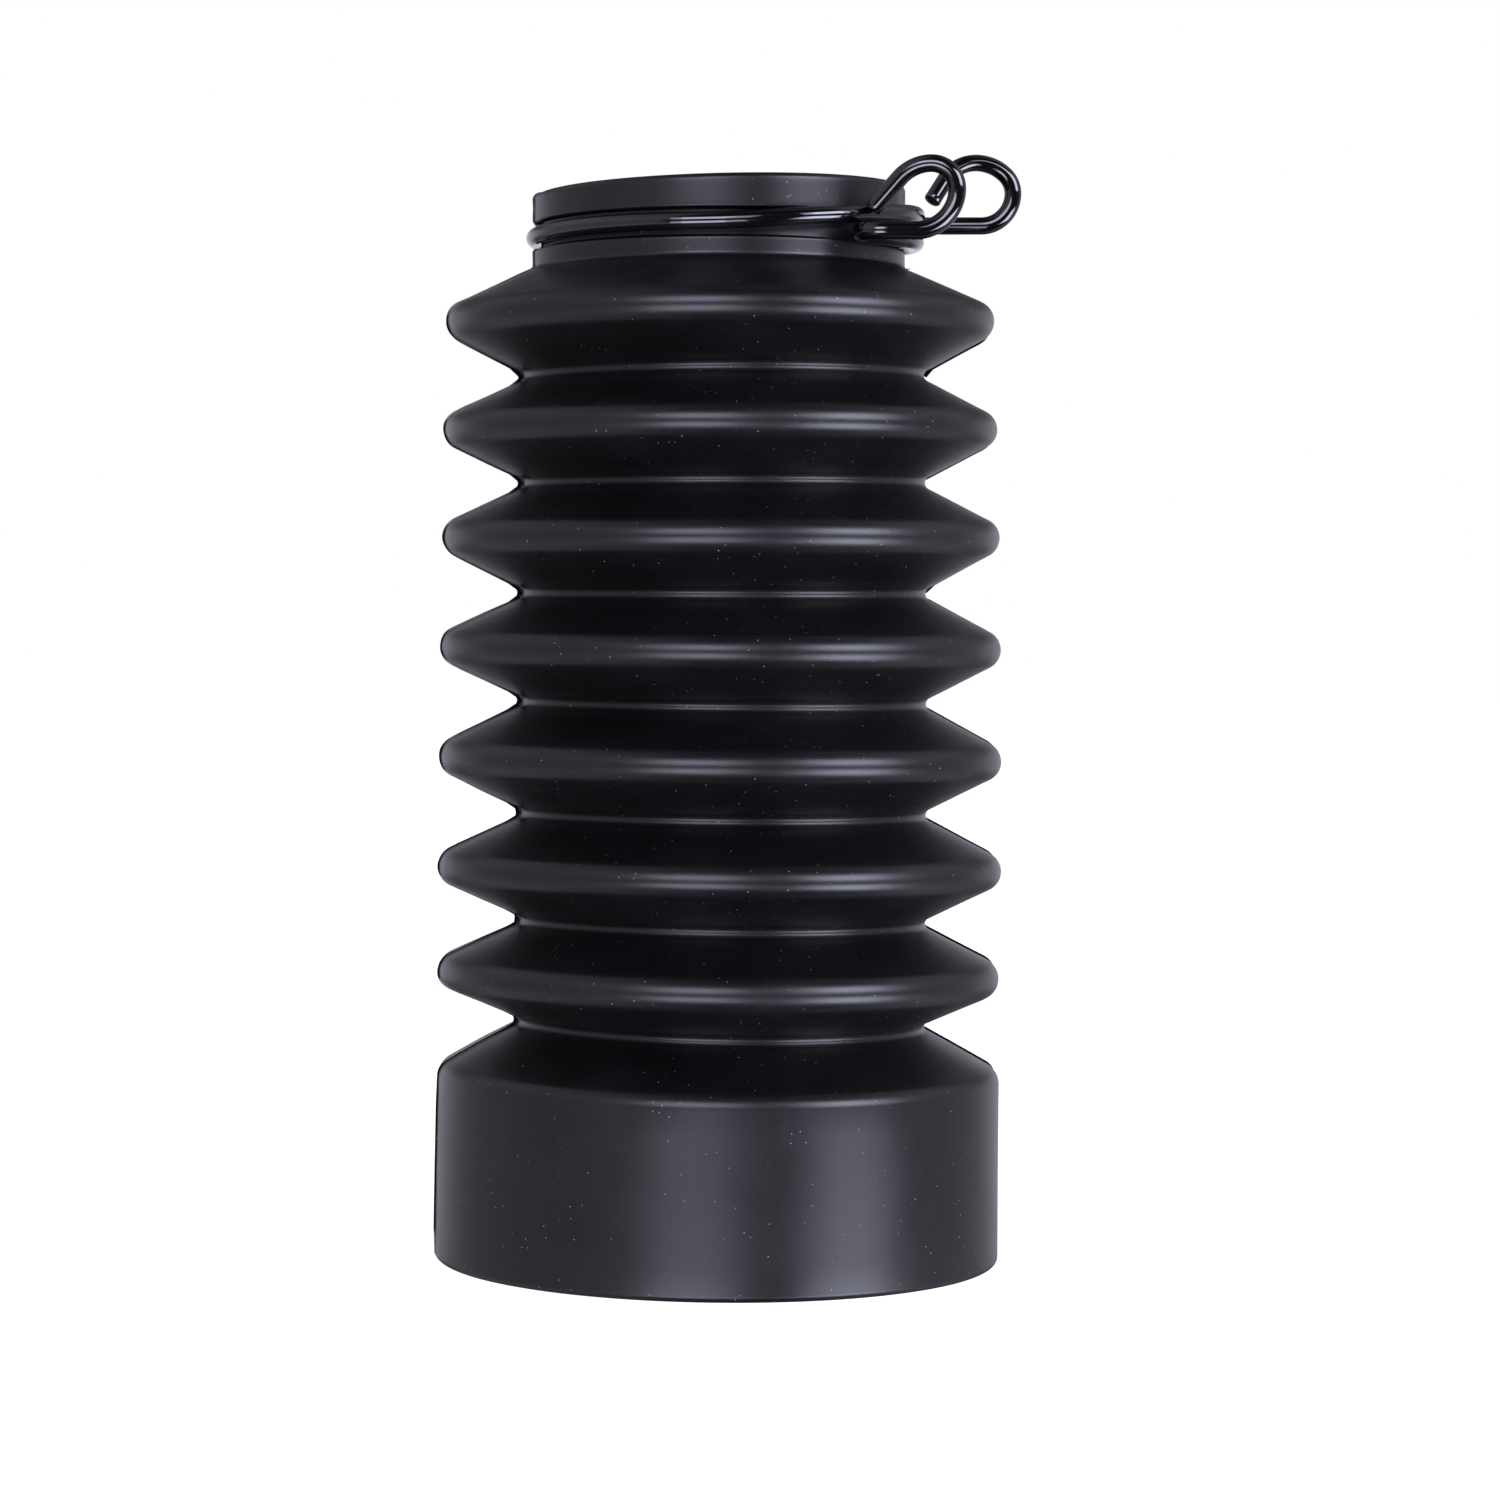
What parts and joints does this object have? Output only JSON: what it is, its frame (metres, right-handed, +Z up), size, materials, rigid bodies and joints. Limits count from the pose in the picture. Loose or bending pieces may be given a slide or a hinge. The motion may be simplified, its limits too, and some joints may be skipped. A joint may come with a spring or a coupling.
{
  "type": "rubber bellows boot",
  "caption": "Flexible rubber bellows sleeve that covers a sliding rod, with a wide plain cuff and a narrow neck held by a spring wire clip.",
  "frame": {"origin": "centre of the cuff's open end, on the sleeve's axis", "axes": "+Z up the axis from the cuff to the neck; +X towards the clip's two eyes; -Y the side of the near eye"},
  "size_m": [0.0608, 0.0584, 0.1149],
  "materials": {
    "rubber": "matte",
    "spring_wire": "gloss"
  },
  "bodies": {
    "root": {"boot": "rubber", "wire_clip": "spring_wire"}
  },
  "joints": []
}
